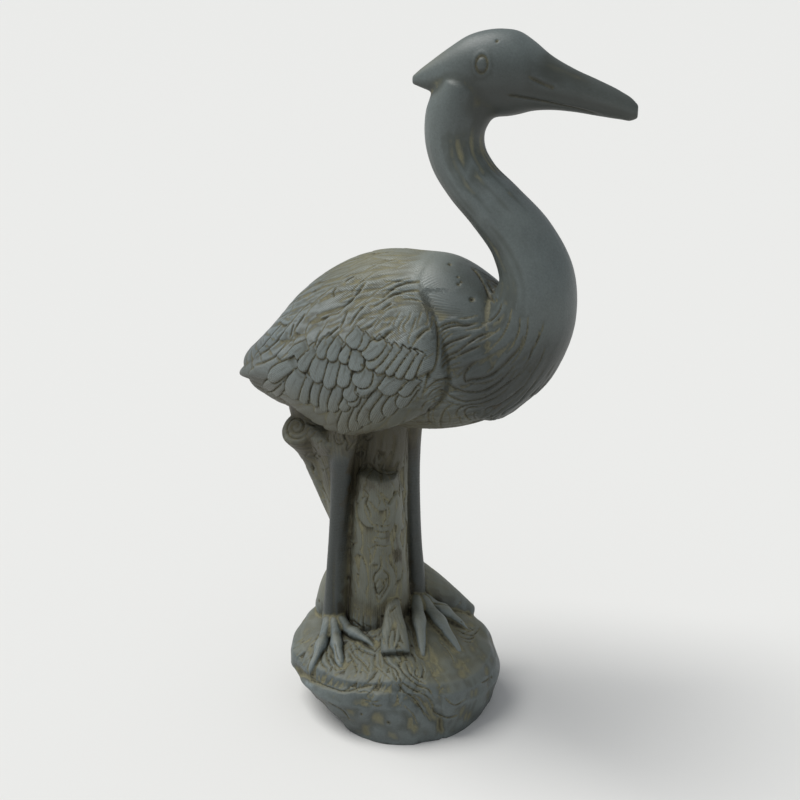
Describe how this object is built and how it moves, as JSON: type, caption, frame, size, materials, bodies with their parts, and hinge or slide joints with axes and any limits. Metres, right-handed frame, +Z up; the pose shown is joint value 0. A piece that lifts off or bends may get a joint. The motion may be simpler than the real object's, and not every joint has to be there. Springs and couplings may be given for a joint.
{
  "type": "garden statue",
  "caption": "Cast-stone heron standing on a rock mound against a tree trunk, with an S-curved neck, long beak and carved feathers.",
  "frame": {"origin": "centre of the flat underside of the rock mound, on the ground", "axes": "+X the way the bird's body faces, +Y its left side, +Z up"},
  "size_m": [0.5038, 0.2637, 0.878],
  "materials": {
    "cast_stone": "dark slate green-grey cast stone with a worn satin surface and khaki dust in the carving"
  },
  "bodies": {
    "root": {"heron_statue": "cast_stone"}
  },
  "joints": []
}
